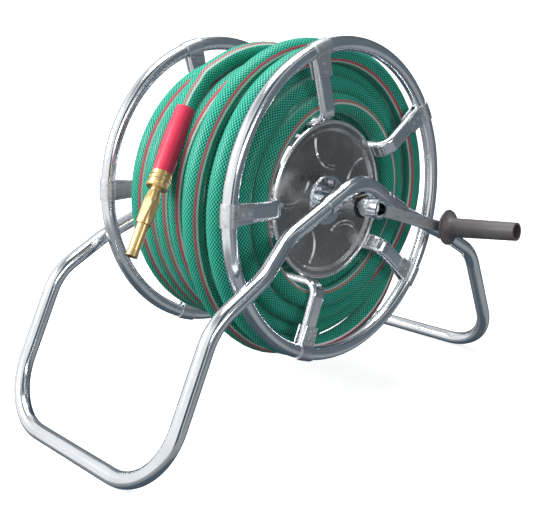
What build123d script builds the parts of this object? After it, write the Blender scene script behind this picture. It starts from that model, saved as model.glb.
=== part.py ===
from build123d import *
from math import acos, cos, hypot, radians, sin, tan
import os

# Garden hose reel on a bent-tube stand, in millimetres.
# X runs along the axle towards the crank, -Y is the front, Z is up and the floor is z = 0.
# Everything is modelled about the reel's middle and moved at the end, so that the origin lies on
# the floor under the middle of the rigid object's box.

# Axle and bearings
AXLE_Z = 272.0
AXLE_OD = 20.0
AXLE_WALL = 2.0
RUNNING_GAP = 0.05
BUSH_WALL = 1.45
BUSH_LIP = 1.2
BUSH_FLANGE = 3.5
HOUSING_WALL = 1.45
HOUSING_LENGTH = 27.0
HOUSING_PROUD = 4.0
SEAT_GAP = 0.15
END_PLAY = 0.5
COLLAR_OD = 28.0
COLLAR_LENGTH = 9.0
AXLE_OVERHANG = 1.5

# Stand: a front and a back hoop of tube, joined at two bent peak sleeves
LEG_OD = 19.0
LEG_SLOPE = 27.35
LEG_STEP = 22.0
PEAK_LEAN = 11.0
FOOT_Y = 326.0
SHOULDER_Y = 246.5
NECK_Y = 113.3
NECK_GAP = 1.5
KNEE_GAP = 10.0
FOOT_BEND = 75.0
SHOULDER_BEND = 70.0
NECK_BEND = 60.0
PEAK_BEND = 60.0
SLEEVE_WALL = 1.6
SLEEVE_FRONT_RUN = 29.0
SLEEVE_OVERLAP = 26.0
NECK_RUN = 22.0

# Reel: two tube rings on five cross bars, each end held by a strap clamp
RING_R = 190.5
RING_TUBE = 17.5
RING_OFFSET = 2.0
BAR_COUNT = 5
BAR_PHASE = 33.4
BAR_WIDTH = 22.0
BAR_THICK = 10.0
BAR_X = 110.5
BAR_R = 105.0
BAR_BEND = 16.0
CLAMP_SHEET = 1.5
CLAMP_ARC = 7.6
CLAMP_TAB = 24.0

# Hub discs and their flanged centres
DISC_SHEET = 1.5
DISC_INSET = 20.5
DISC_DISH = 4.0
DISC_RIM = 7.4
DISC_BEAD = 2.4
SWIRL_COUNT = 5
SWIRL_WIDTH = 8.0
SWIRL_HEIGHT = 1.8
SWIRL_TAPER = 45.0
SWIRL_MARGIN_IN = 10.0
SWIRL_MARGIN_OUT = 6.0
SWIRL_TURN = 34.0
SWIRL_BOW = 11.0
CUP_R = 32.0
CUP_SHEET = 3.0
NECK_OD = 27.0

# Crank and its turning grip
CRANK_R = 156.5
CRANK_ANGLE = -16.4
CRANK_ARM_WIDTH = 14.0
CRANK_ARM_THICK = 8.0
BOSS_OD = 24.0
BOSS_OVERHANG = 13.0
BOSS_GAP = 1.0
BOLT_D = 6.0
BOLT_FLATS = 10.0
BOLT_HEAD = 4.2
BOLT_INSET = 5.5
SPINDLE_D = 10.0
GRIP_LEAN = 5.5
GRIP_LENGTH = 104.0
GRIP_BASE_R = 12.8
GRIP_END_R = 11.5
GRIP_BACK_R = 9.0
COLLAR_R = 23.5
COLLAR_RISE = 6.5
COLLAR_EDGE = 1.6
COLLAR_FALL = 8.5
COLLAR_DOME_R = 0.78
COLLAR_DOME_Z = 0.38
COLLAR_FLARE_R = 0.28
COLLAR_FLARE_Z = 0.68
RECESS_R = 9.0
RECESS_DEPTH = 24.0
WASHER_R = 8.0
WASHER_THICK = 2.0
GRIP_END_PLAY = 0.6

# Hose: a plain core of buried layers, one lower layer and a part upper layer that ends at the nozzle
HOSE_D = 24.0
LAYER_GAP = 0.7
TURN_GAP = 0.65
FLANGE_GAP = 2.3
LOWER_R = 153.5
END_RISE = 2.0
CLIMB_TURNS = 0.25
UPPER_TURNS = 3.0
UPPER_SHIFT = 11.8
END_X = -22.0
END_SLOPE = 50.0
HANG = 15.0
HANG_LOWER = 0.8
HANG_POWER = 1.3
LEAVE_ANGLE = 55.0
TAIL_POINT = (-5.6, -187.4, 313.6)
TAIL_LEAN_X = 9.7
TAIL_LEAN_Y = -33.5
SLEEVE_LENGTH = 85.0
SLEEVE_SKIN = 0.8
SLEEVE_PLAY = 0.4

# Nozzle on the hose end, measured along its own axis from the hose's end face
TAIL_FLANGE = 2.0
TAIL_SPIGOT_R = 8.0
TAIL_SPIGOT_END = 12.0
TAIL_BORE_R = 6.0
NUT_END = 20.0
NUT_RIB_R = 13.4
NUT_WAIST_R = 12.4
NUT_GROOVE = 1.0
STEM_THREAD_R = 9.0
STEM_NECK_R = 6.4
STEM_NECK_END = 24.0
BARREL_GAP = 0.5
STEM_SHAFT_R = 5.4
STEM_END = 58.0
STEM_BORE_R = 3.4
BARREL_MOUTH_R = 7.2
BARREL_BODY_START = 41.0
BARREL_BODY_END = 66.0
BARREL_FLATS = 18.4
BARREL_BODY_R = 10.4
BARREL_BODY_TAPER = 1.1
BARREL_SHOULDER = 1.0
BARREL_TIP_R = 7.4
BARREL_WAIST_R = 6.9
BARREL_LIP_R = 7.5
BARREL_LIP_RUN = 8.0
BARREL_END = 106.0
OUTLET_R = 4.2

FIT = 0.2
SIDES = {"crank_side": 1, "plain_side": -1}

BARREL_START = STEM_NECK_END + BARREL_GAP

# The nut's outline from its hose end: shares of its length, and radii
NUT_OUTLINE = [(0.0, NUT_WAIST_R), (0.16, NUT_WAIST_R), (0.2, NUT_WAIST_R - NUT_GROOVE)]
NUT_OUTLINE += [(0.28, NUT_WAIST_R - NUT_GROOVE), (0.33, NUT_RIB_R), (0.44, NUT_RIB_R), (0.5, NUT_WAIST_R)]
NUT_OUTLINE += [(0.74, NUT_WAIST_R), (0.8, NUT_RIB_R), (0.92, NUT_RIB_R), (1.0, NUT_WAIST_R)]

BUSH_BORE = AXLE_OD / 2 + RUNNING_GAP
BUSH_R = BUSH_BORE + BUSH_WALL
HOUSING_BORE = BUSH_R + RUNNING_GAP
HOUSING_R = HOUSING_BORE + HOUSING_WALL
SLEEVE_BORE = LEG_OD / 2 + SEAT_GAP
SLEEVE_R = SLEEVE_BORE + SLEEVE_WALL

RING_X = BAR_X + RING_OFFSET
CLAMP_IN_X = BAR_X - BAR_THICK / 2 - FIT - CLAMP_SHEET
DISC_X = BAR_X - DISC_INSET
NECK_X = BAR_X + BAR_THICK / 2 + NECK_GAP + LEG_OD / 2
FOOT_X = NECK_X + LEG_STEP
PEAK_X = NECK_X + PEAK_LEAN
KNEE_Y = CRANK_R + CRANK_ARM_WIDTH / 2 + KNEE_GAP
HOUSING_OUT_X = PEAK_X + HOUSING_PROUD
HOUSING_IN_X = HOUSING_OUT_X - HOUSING_LENGTH
FLANGE_OUT_X = HOUSING_OUT_X + BUSH_FLANGE
CRANK_ARM_X = FOOT_X + LEG_OD / 2
BOSS_START_X = FLANGE_OUT_X + BOSS_GAP
BOSS_END_X = CRANK_ARM_X + BOSS_OVERHANG

# The peak's bend rounds off below its sharp corner and rests on the bearing housing
NECK_DROP = NECK_Y * tan(radians(LEG_SLOPE))
PEAK_ARM = hypot(NECK_Y, NECK_DROP, PEAK_LEAN)
PEAK_FALL = hypot(NECK_DROP, PEAK_LEAN)
BEND_DROP = PEAK_BEND * (PEAK_ARM / NECK_Y - 1) * NECK_DROP / PEAK_FALL
BEND_RUN = PEAK_BEND * PEAK_FALL / NECK_Y
PEAK_Z = AXLE_Z + HOUSING_R + SEAT_GAP + SLEEVE_R + BEND_DROP
SLEEVE_FRONT = BEND_RUN + SLEEVE_FRONT_RUN
SLEEVE_BACK = PEAK_ARM - NECK_RUN

UPPER_R = LOWER_R + HOSE_D + LAYER_GAP
TURN_PITCH = HOSE_D + TURN_GAP
WINDING_X = CLAMP_IN_X - FLANGE_GAP - HOSE_D / 2
LOWER_TURNS = int(4 * 2 * WINDING_X / TURN_PITCH) / 4
WOUND_TURNS = LOWER_TURNS + CLIMB_TURNS + UPPER_TURNS

CRANK_LINE = Vector(0, cos(radians(CRANK_ANGLE)), sin(radians(CRANK_ANGLE)))
CRANK_SIDE = Vector(0, -sin(radians(CRANK_ANGLE)), cos(radians(CRANK_ANGLE)))
CRANK_CENTRE = Vector(CRANK_ARM_X, 0, AXLE_Z)
BOLT_CENTRE = Vector(CRANK_ARM_X - BOLT_INSET, 0, AXLE_Z)


def along_x(profile, start, end):
    """A straight solid of a profile drawn about the axle, between two stations of X."""
    plane = Plane(origin=(start, 0, AXLE_Z), x_dir=(0, 1, 0), z_dir=(1, 0, 0))
    return extrude(plane * profile, amount=end - start)


def turned(points):
    """A solid turned about the axle from an outline of (x, radius) points."""
    outline = make_face(Polyline(*[(x, 0, r) for x, r in points], close=True))
    return Pos(0, 0, AXLE_Z) * revolve(outline, Axis.X)


def spun(points):
    """A solid turned about its own Z axis from an outline of (radius, height) points."""
    return revolve(make_face(Polyline(*[(r, 0, z) for r, z in points], close=True)), Axis.Z)


def rod(path, profile, x_dir=None):
    """A profile swept square along a path."""
    start = Plane(origin=path @ 0, x_dir=x_dir, z_dir=path % 0)
    return sweep(start * profile, path)


def mirrored(solid, side):
    """The solid itself on the crank's side, or its mirror image on the plain side."""
    return solid if side > 0 else mirror(solid, Plane.YZ)


def leg_points(front):
    """The corners of one leg on the crank's side, from its neck under the peak to its foot."""
    def on_slope(x, y):
        return Vector(x, front * y, PEAK_Z - y * tan(radians(LEG_SLOPE)))

    foot = Vector(FOOT_X, front * FOOT_Y, LEG_OD / 2)
    return [on_slope(NECK_X, NECK_Y), on_slope(FOOT_X, KNEE_Y), on_slope(FOOT_X, SHOULDER_Y), foot]


def below_peak(front, distance):
    """A point on the crank side's peak line, a distance down from the sharp peak."""
    peak = Vector(PEAK_X, 0, PEAK_Z)
    return peak + (leg_points(front)[0] - peak).normalized() * distance


def hoop(front, sleeve_reach):
    """A leg, a floor bar and the other leg, bent from one tube."""
    half = [below_peak(front, sleeve_reach - SLEEVE_OVERLAP)] + leg_points(front)
    other = [Vector(-p.X, p.Y, p.Z) for p in reversed(half)]
    bends = [NECK_BEND, NECK_BEND, SHOULDER_BEND, FOOT_BEND]
    path = FilletPolyline(*half, *other, radius=bends + bends[::-1])
    return rod(path, Circle(LEG_OD / 2))


def peak_sleeve():
    """The bent sleeve over the axle, into which the front and the back leg plug."""
    peak = Vector(PEAK_X, 0, PEAK_Z)
    ends = below_peak(-1, SLEEVE_FRONT), below_peak(1, SLEEVE_BACK)
    path = FilletPolyline(ends[0], peak, ends[1], radius=PEAK_BEND)
    return rod(path, Circle(SLEEVE_R)) - rod(path, Circle(SLEEVE_BORE))


def housing():
    """The bearing tube under a peak sleeve."""
    return along_x(Circle(HOUSING_R) - Circle(HOUSING_BORE), HOUSING_IN_X, HOUSING_OUT_X)


def bush():
    """The flanged plastic bush that the axle turns in."""
    sleeve = along_x(Circle(BUSH_R) - Circle(BUSH_BORE), HOUSING_IN_X, HOUSING_OUT_X)
    flange = along_x(Circle(HOUSING_R + BUSH_LIP) - Circle(BUSH_BORE), HOUSING_OUT_X, FLANGE_OUT_X)
    return sleeve + flange


def ring():
    """One tube ring of the reel."""
    section = Plane.XZ * Pos(RING_X, RING_R) * Circle(RING_TUBE / 2)
    return Pos(0, 0, AXLE_Z) * revolve(section, Axis.X)


def at_bar(solid, index):
    """A solid made about the axle with its radius along +Z, turned to a bar's place."""
    angle = BAR_PHASE + index * 360 / BAR_COUNT
    return Pos(0, 0, AXLE_Z) * Rot(X=angle - 90) * solid


def cross_bar():
    """A bar from ring to ring: radial at both ends, and along the axle between them."""
    ring_in = RING_R - RING_TUBE / 2 - FIT
    end_r = (ring_in ** 2 - (BAR_WIDTH / 2) ** 2) ** 0.5
    corners = [(BAR_X, 0, end_r), (BAR_X, 0, BAR_R), (-BAR_X, 0, BAR_R), (-BAR_X, 0, end_r)]
    path = FilletPolyline(*corners, radius=BAR_BEND)
    return rod(path, SlotOverall(BAR_WIDTH, BAR_THICK), x_dir=(0, 1, 0))


def clamp():
    """A sheet strap round the ring, with a tab on each face of the bar's end."""
    ring_hole = RING_TUBE / 2 + FIT
    bar_hole = BAR_THICK + 2 * FIT
    tab_r = RING_R - RING_TUBE / 2 - CLAMP_TAB
    tab_middle = (RING_R + tab_r) / 2
    tab_length = RING_R - tab_r
    around_ring = Pos(RING_X, RING_R)
    on_bar = Pos(BAR_X, tab_middle)
    outside = around_ring * Circle(ring_hole + CLAMP_SHEET)
    outside += on_bar * Rectangle(bar_hole + 2 * CLAMP_SHEET, tab_length)
    inside = around_ring * Circle(ring_hole)
    inside += Pos(BAR_X, tab_middle - CLAMP_SHEET) * Rectangle(bar_hole, tab_length)
    strap = revolve(Plane.XZ * (outside - inside), Axis.X, CLAMP_ARC)
    return Rot(X=-CLAMP_ARC / 2) * strap


def disc():
    """A pressed hub disc with a beaded rim and curved ribs, dished towards the middle of the reel."""
    rim_r = BAR_R - BAR_THICK / 2 - FIT - DISC_BEAD
    bore = AXLE_OD / 2 + FIT
    low_x = DISC_X - DISC_DISH
    slope_r = rim_r - DISC_RIM
    step_r = slope_r - DISC_DISH
    front = [(low_x, bore), (low_x, step_r), (DISC_X, slope_r), (DISC_X, rim_r)]
    back = [(x - DISC_SHEET, r) for x, r in reversed(front)]
    bead = Plane.XZ * Pos(DISC_X - DISC_SHEET / 2, rim_r) * Circle(DISC_BEAD)
    plate = turned(front + back) + Pos(0, 0, AXLE_Z) * revolve(bead, Axis.X)
    face = Plane(origin=(low_x - DISC_SHEET / 2, 0, AXLE_Z), x_dir=(0, 1, 0), z_dir=(1, 0, 0))
    start = Vector(CUP_R + SWIRL_MARGIN_IN, 0)
    end = Vector(step_r - SWIRL_MARGIN_OUT, 0).rotate(Axis.Z, SWIRL_TURN)
    across = (end - start).rotate(Axis.Z, 90).normalized()
    swirl = SlotArc(ThreePointArc(start, (start + end) / 2 + across * SWIRL_BOW, end), SWIRL_WIDTH)
    rib = extrude(face * swirl, amount=DISC_SHEET / 2 + SWIRL_HEIGHT, taper=SWIRL_TAPER)
    hub = Axis((0, 0, AXLE_Z), (1, 0, 0))
    return plate + [rib.rotate(hub, i * 360 / SWIRL_COUNT) for i in range(SWIRL_COUNT)]


def cup():
    """The flanged neck that holds a disc to the axle and runs against the bearing housing."""
    base = DISC_X - DISC_DISH
    bore = AXLE_OD / 2 + FIT
    face = base + CUP_SHEET
    end = HOUSING_IN_X - END_PLAY
    flange = [(base, bore), (base, CUP_R), (face, CUP_R - CUP_SHEET / 2)]
    return turned(flange + [(face, NECK_OD / 2), (end, NECK_OD / 2), (end, bore)])


def crank_bolt_hole(from_axis, to_axis, radius):
    """A round bar along the crank bolt's line."""
    line = Plane(origin=BOLT_CENTRE + CRANK_LINE * from_axis, z_dir=CRANK_LINE)
    return extrude(line * Circle(radius), amount=to_axis - from_axis)


def axle():
    """The tube through the whole reel, from the end collar to inside the crank's boss."""
    collar_end = -(FLANGE_OUT_X + BOSS_GAP + COLLAR_LENGTH + AXLE_OVERHANG)
    end = BOLT_CENTRE.X + BOLT_FLATS / 2 + AXLE_OVERHANG
    tube = along_x(Circle(AXLE_OD / 2) - Circle(AXLE_OD / 2 - AXLE_WALL), collar_end, end)
    return tube - crank_bolt_hole(-AXLE_OD, AXLE_OD, BOLT_D / 2 + FIT)


def end_collar():
    """The collar that keeps the axle in the plain side's bush."""
    outer = -(FLANGE_OUT_X + BOSS_GAP + COLLAR_LENGTH)
    return along_x(Circle(COLLAR_OD / 2) - Circle(AXLE_OD / 2 + RUNNING_GAP), outer, outer + COLLAR_LENGTH)


def crank_boss():
    """The open-ended tube on the axle's end that carries the crank's arm."""
    tube = along_x(Circle(BOSS_OD / 2) - Circle(AXLE_OD / 2 + RUNNING_GAP), BOSS_START_X, BOSS_END_X)
    return tube - crank_bolt_hole(-BOSS_OD, BOSS_OD, BOLT_D / 2 + FIT)


def grip_plane(height=0.0):
    """The plane square to the grip's leaning axis, a height out from the back of its collar."""
    out = Vector(cos(radians(GRIP_LEAN)), 0, 0) + CRANK_SIDE * sin(radians(GRIP_LEAN))
    lift = CRANK_ARM_THICK / 2 + GRIP_BACK_R * tan(radians(GRIP_LEAN)) + GRIP_END_PLAY
    eye = CRANK_CENTRE + CRANK_LINE * CRANK_R
    return Plane(origin=eye + out * (lift + height), x_dir=CRANK_LINE, z_dir=out)


def crank_arm():
    """The flattened arm from the boss to the grip's spindle."""
    back = CRANK_ARM_X - CRANK_ARM_THICK / 2
    plane = Plane(origin=(back, 0, AXLE_Z), x_dir=CRANK_LINE, z_dir=(1, 0, 0))
    flat = Pos(CRANK_R / 2, 0) * SlotCenterToCenter(CRANK_R, CRANK_ARM_WIDTH)
    bar = extrude(plane * flat, amount=CRANK_ARM_THICK)
    faces = bar.faces().sort_by(Axis.X)
    bar = fillet(faces[0].edges() + faces[-1].edges(), CRANK_ARM_THICK / 4)
    bar -= along_x(Circle(BOSS_OD / 2 + SEAT_GAP), back - FIT, back + CRANK_ARM_THICK + FIT)
    reach = CRANK_ARM_THICK * 2
    return bar - extrude(grip_plane(-reach) * Circle(SPINDLE_D / 2 + SEAT_GAP), amount=2 * reach)


def crank_bolt():
    """The hex bolt through the boss and the axle, beside the arm."""
    head_r = BOSS_OD / 2
    head_plane = Plane(origin=BOLT_CENTRE - CRANK_LINE * head_r, z_dir=-CRANK_LINE)
    head = extrude(head_plane * RegularPolygon(BOLT_FLATS / 2, 6, major_radius=False), amount=BOLT_HEAD)
    far_end = (head_r ** 2 - (BOLT_D / 2) ** 2) ** 0.5 - FIT
    return head + crank_bolt_hole(-head_r, far_end, BOLT_D / 2)


def spindle():
    """The rod that the grip turns on, from the arm to inside the grip's recess."""
    start = -(CRANK_ARM_THICK + GRIP_END_PLAY)
    end = GRIP_LENGTH - RECESS_DEPTH + GRIP_END_PLAY + WASHER_THICK
    return extrude(grip_plane(start) * Circle(SPINDLE_D / 2), amount=end - start)


def washer():
    """The washer on the spindle's end that keeps the grip on."""
    base = GRIP_LENGTH - RECESS_DEPTH + GRIP_END_PLAY
    flat = Circle(WASHER_R) - Circle(SPINDLE_D / 2 + RUNNING_GAP)
    return extrude(grip_plane(base) * flat, amount=WASHER_THICK)


def grip():
    """The moulded grip: a flared collar, a tapered barrel and an open end."""
    bore = SPINDLE_D / 2 + RUNNING_GAP
    edge_z = COLLAR_RISE + COLLAR_EDGE
    base_z = edge_z + COLLAR_FALL
    floor_z = GRIP_LENGTH - RECESS_DEPTH
    dome_middle = (COLLAR_R * COLLAR_DOME_R, COLLAR_RISE * COLLAR_DOME_Z)
    dome = ThreePointArc((GRIP_BACK_R, 0), dome_middle, (COLLAR_R, COLLAR_RISE))
    edge = Line((COLLAR_R, COLLAR_RISE), (COLLAR_R - COLLAR_EDGE / 2, edge_z))
    flare_middle = (GRIP_BASE_R + COLLAR_FALL * COLLAR_FLARE_R, base_z - COLLAR_FALL * COLLAR_FLARE_Z)
    flare = ThreePointArc((COLLAR_R - COLLAR_EDGE / 2, edge_z), flare_middle, (GRIP_BASE_R, base_z))
    barrel = [(GRIP_BASE_R, base_z), (GRIP_END_R, GRIP_LENGTH), (RECESS_R, GRIP_LENGTH), (RECESS_R, floor_z)]
    rest = Polyline(*barrel, (bore, floor_z), (bore, 0), (GRIP_BACK_R, 0))
    outline = make_face(dome + edge + flare + rest)
    return grip_plane() * revolve(Plane.XZ * outline, Axis.Z)


def eased(share):
    """A smooth step from 0 to 1."""
    share = min(max(share, 0), 1)
    return share ** 2 * (3 - 2 * share)


def winding_x(turn):
    """How far along the axle the wound hose is: out to the crank's side, and part of the way back."""
    after_lower = turn - LOWER_TURNS
    after_climb = after_lower - CLIMB_TURNS
    if after_lower < 0:
        return WINDING_X + TURN_PITCH * after_lower
    if after_climb < 0:
        return WINDING_X - TURN_PITCH * after_lower * after_climb / CLIMB_TURNS
    even = WINDING_X - TURN_PITCH * after_climb - UPPER_SHIFT * eased(after_climb / CLIMB_TURNS)
    last = turn - WOUND_TURNS + 1
    if last < 0:
        return even
    missed = END_X - (even - TURN_PITCH * (1 - last))
    return even + missed * eased(last) + (END_SLOPE + TURN_PITCH) * last ** 2 * (last - 1)


def winding_place(turn):
    """A point of the wound hose's centreline, a number of turns after the start of the lower layer."""
    angle = radians(LEAVE_ANGLE + 360 * (WOUND_TURNS - turn))
    climb = eased((turn - LOWER_TURNS) / CLIMB_TURNS)
    hang = HANG * (HANG_LOWER + (1 - HANG_LOWER) * climb) * ((1 - sin(angle)) / 2) ** HANG_POWER
    end_rise = END_RISE * max(0, 1 - 4 * (WOUND_TURNS - turn))
    radius = LOWER_R + (UPPER_R - LOWER_R) * climb + hang + end_rise
    return Vector(winding_x(turn), -radius * cos(angle), AXLE_Z + radius * sin(angle))


def winding_heading(turn, step=0.01):
    """The direction in which the wound hose runs at a turn."""
    return (winding_place(turn + step) - winding_place(turn - step)).normalized()


def arc_through(start, corner, end):
    """The arc that leaves start and reaches end along the two lines to a corner."""
    middle = (start + end) / 2
    half = (end - start).length / 2
    lean = acos(min(1, half / (corner - start).length))
    bulge = (corner - middle).normalized() * half * tan(lean / 2)
    return Edge.make_three_point_arc(start, middle + bulge, end)


def biarc(start, heading, end, end_heading):
    """Two tangent arcs from one place and direction to another."""
    chord = end - start
    both = heading + end_heading
    spread = 2 * (1 - heading.dot(end_heading))
    reach = (-chord.dot(both) + (chord.dot(both) ** 2 + spread * chord.dot(chord)) ** 0.5) / spread
    first = start + heading * reach
    second = end - end_heading * reach
    middle = (first + second) / 2
    return [arc_through(start, first, middle), arc_through(middle, second, end)]


def tail_heading():
    """The direction of the nozzle that hangs from the hose's end."""
    return Vector(tan(radians(TAIL_LEAN_X)), tan(radians(TAIL_LEAN_Y)), -1).normalized()


def free_end():
    """The hose's path from where it leaves the winding to its end face: two arcs and a straight run."""
    tail = Vector(*TAIL_POINT)
    straight = tail - tail_heading() * SLEEVE_LENGTH
    bend = biarc(winding_place(WOUND_TURNS), winding_heading(WOUND_TURNS), straight, tail_heading())
    return bend + [Edge.make_line(straight, tail)]


def winding_path():
    """The visible hose as one path: a straight start, the turns in quarter-turn biarcs, the free end."""
    quarters = round(4 * WOUND_TURNS)
    start = winding_place(0)
    edges = [Edge.make_line(start - winding_heading(0) * HOSE_D, start)]
    stations = [(winding_place(quarter / 4), winding_heading(quarter / 4)) for quarter in range(quarters + 1)]
    for here, there in zip(stations, stations[1:]):
        edges += biarc(*here, *there)
    return edges + free_end()


def least_gap(edges):
    """The smallest distance between the surfaces of different turns, measured on points of the path."""
    steps = 6
    points = [edge @ (i / steps) for edge in edges for i in range(steps)]
    apart = 8 * steps // 2
    closest = min(hypot(*(a - b)) for i, a in enumerate(points) for b in points[i + apart:])
    return closest - HOSE_D


def hose_winding(edges):
    """The wound hose as one unbroken tube."""
    return rod(Wire(edges), Circle(HOSE_D / 2))


def hose_core():
    """The buried layers of hose on the cross bars, as one plain body."""
    outer = LOWER_R - HOSE_D / 2 - LAYER_GAP
    inner = hypot(BAR_R + BAR_THICK / 2, (BAR_WIDTH - BAR_THICK) / 2) + FIT
    half = WINDING_X + HOSE_D / 2
    core = along_x(Circle(outer) - Circle(inner), -half, half)
    bore = core.edges().filter_by(GeomType.CIRCLE).sort_by(SortBy.RADIUS)[:2]
    bend_room = (BAR_BEND - BAR_THICK / 2) * (2 - 2 ** 0.5)
    return chamfer(bore, bend_room)


def hose_sleeve():
    """The plastic sleeve over the last stretch of hose."""
    path = free_end()[-1]
    inner = HOSE_D / 2 + SLEEVE_PLAY
    return rod(path, Circle(inner + SLEEVE_SKIN)) - rod(path, Circle(inner))


def nozzle_plane():
    """The plane of the hose's end face, looking out along the nozzle."""
    return Plane(origin=Vector(*TAIL_POINT), x_dir=(0, 1, 0), z_dir=tail_heading())


def hose_tail():
    """The brass tail in the hose's end, with the spigot that the nut swivels on."""
    flange = [(TAIL_BORE_R, 0), (HOSE_D / 2, 0), (HOSE_D / 2, TAIL_FLANGE), (TAIL_SPIGOT_R, TAIL_FLANGE)]
    spigot = [(TAIL_SPIGOT_R, TAIL_SPIGOT_END), (TAIL_BORE_R, TAIL_SPIGOT_END)]
    return nozzle_plane() * spun(flange + spigot)


def nozzle_nut():
    """The ribbed swivel nut that holds the nozzle to the hose's tail."""
    start = TAIL_FLANGE + FIT
    swivel = TAIL_SPIGOT_R + RUNNING_GAP
    thread = STEM_THREAD_R + RUNNING_GAP
    seat = TAIL_SPIGOT_END + FIT
    outline = [(swivel, start)] + [(r, start + (NUT_END - start) * share) for share, r in NUT_OUTLINE]
    return nozzle_plane() * spun(outline + [(thread, NUT_END), (thread, seat), (swivel, seat)])


def nozzle_stem():
    """The nozzle's hollow stem, from the nut's thread into the barrel."""
    start = TAIL_SPIGOT_END + 2 * FIT
    thread = [(STEM_BORE_R, start), (STEM_THREAD_R, start), (STEM_THREAD_R, NUT_END)]
    neck = [(STEM_NECK_R, NUT_END), (STEM_NECK_R, STEM_NECK_END)]
    shaft = [(STEM_SHAFT_R, STEM_NECK_END), (STEM_SHAFT_R, STEM_END), (STEM_BORE_R, STEM_END)]
    return nozzle_plane() * spun(thread + neck + shaft)


def nozzle_barrel():
    """The twist barrel: a six-sided body that necks down to a long round tip."""
    bore = STEM_SHAFT_R + RUNNING_GAP
    chamber = STEM_END + FIT
    mouth = [(bore, BARREL_START), (BARREL_MOUTH_R, BARREL_START)]
    body = [(BARREL_BODY_R, BARREL_BODY_START), (BARREL_BODY_R - BARREL_BODY_TAPER, BARREL_BODY_END)]
    waist = (BARREL_WAIST_R, BARREL_END - BARREL_LIP_RUN)
    tip = [(BARREL_TIP_R, BARREL_BODY_END + BARREL_SHOULDER), waist, (BARREL_LIP_R, BARREL_END)]
    outlet = [(OUTLET_R, BARREL_END), (OUTLET_R, chamber), (bore, chamber)]
    hexagon = extrude(RegularPolygon(BARREL_FLATS / 2, 6, major_radius=False), amount=BARREL_END)
    return nozzle_plane() * (spun(mouth + body + tip + outlet) & hexagon)


def build():
    """Every node by name, about the reel's middle."""
    path = winding_path()
    print("least gap between hose turns", round(least_gap(path), 2))
    print("free end's bend radii", [round(edge.radius, 1) for edge in free_end()[:2]])
    nodes = {"front_hoop": hoop(-1, SLEEVE_FRONT), "back_hoop": hoop(1, SLEEVE_BACK)}
    for name, side in SIDES.items():
        nodes["peak_sleeve_" + name] = mirrored(peak_sleeve(), side)
        nodes["bearing_housing_" + name] = mirrored(housing(), side)
        nodes["bush_" + name] = mirrored(bush(), side)
        nodes["ring_" + name] = mirrored(ring(), side)
        nodes["hub_disc_" + name] = mirrored(disc(), side)
        nodes["hub_cup_" + name] = mirrored(cup(), side)
        for i in range(BAR_COUNT):
            nodes[f"clamp_{name}_{i + 1}"] = mirrored(at_bar(clamp(), i), side)
    for i in range(BAR_COUNT):
        nodes[f"cross_bar_{i + 1}"] = at_bar(cross_bar(), i)
    nodes["axle"] = axle()
    nodes["end_collar"] = end_collar()
    nodes["crank_boss"] = crank_boss()
    nodes["crank_arm"] = crank_arm()
    nodes["crank_bolt"] = crank_bolt()
    nodes["grip_spindle"] = spindle()
    nodes["grip_washer"] = washer()
    nodes["grip"] = grip()
    nodes["hose_core"] = hose_core()
    nodes["hose_winding"] = hose_winding(path)
    nodes["hose_sleeve"] = hose_sleeve()
    nodes["hose_tail"] = hose_tail()
    nodes["nozzle_nut"] = nozzle_nut()
    nodes["nozzle_stem"] = nozzle_stem()
    nodes["nozzle_barrel"] = nozzle_barrel()
    return nodes


nodes = build()
origin_x = (nodes["grip"].bounding_box().max.X + nodes["front_hoop"].bounding_box().min.X) / 2
print("reel's middle at x =", round(-origin_x, 4))
os.makedirs("parts", exist_ok=True)
for name, solid in nodes.items():
    export_step(Pos(-origin_x, 0, 0) * solid, f"parts/{name}.step")
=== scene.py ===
"""Studio scene of a garden hose reel on a bent-tube stand.

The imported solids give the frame, and most of them stay as they are and get a finish. The wound
hose, its plastic sleeve and the small fasteners and welds are made here. Lengths are in metres, in
the frame of the solids: X along the axle towards the crank, -Y the front, Z up.
"""

import logging
import math
from collections.abc import Sequence
from dataclasses import dataclass, field
from enum import Enum

import bpy
from mathutils import Matrix, Vector

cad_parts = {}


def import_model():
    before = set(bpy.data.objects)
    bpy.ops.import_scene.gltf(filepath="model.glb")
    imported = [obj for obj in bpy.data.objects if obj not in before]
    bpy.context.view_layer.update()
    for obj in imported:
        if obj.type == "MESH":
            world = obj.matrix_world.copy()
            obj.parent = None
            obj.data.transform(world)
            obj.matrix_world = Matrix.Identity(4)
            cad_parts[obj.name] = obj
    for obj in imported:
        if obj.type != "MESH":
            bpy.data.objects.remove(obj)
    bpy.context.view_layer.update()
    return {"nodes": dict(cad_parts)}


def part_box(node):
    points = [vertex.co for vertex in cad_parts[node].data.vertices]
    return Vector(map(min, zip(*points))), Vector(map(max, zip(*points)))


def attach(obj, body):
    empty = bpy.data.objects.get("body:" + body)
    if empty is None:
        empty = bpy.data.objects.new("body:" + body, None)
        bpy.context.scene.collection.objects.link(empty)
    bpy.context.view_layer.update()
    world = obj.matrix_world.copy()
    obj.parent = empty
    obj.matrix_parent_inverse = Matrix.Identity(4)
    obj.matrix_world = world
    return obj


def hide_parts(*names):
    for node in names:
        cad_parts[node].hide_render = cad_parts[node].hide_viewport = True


LOG = logging.getLogger("hose_reel")

Colour = tuple[float, float, float]
Place = tuple[float, float, float]
Span = tuple[float, float]
Profile = Sequence[Span]

SIDES = {"crank_side": 1.0, "plain_side": -1.0}
UP = Vector((0.0, 0.0, 1.0))
WHITE: Colour = (1.0, 1.0, 1.0)


class Body(Enum):
    """The moving bodies of the frame that pieces ride on."""

    STAND = "stand"
    REEL = "reel"


class Slot(Enum):
    """The record's material slot names."""

    TUBE = "tube_chrome"
    STEEL = "satin_steel"
    HOSE = "hose_rubber"
    SLEEVE = "sleeve_plastic"


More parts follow.
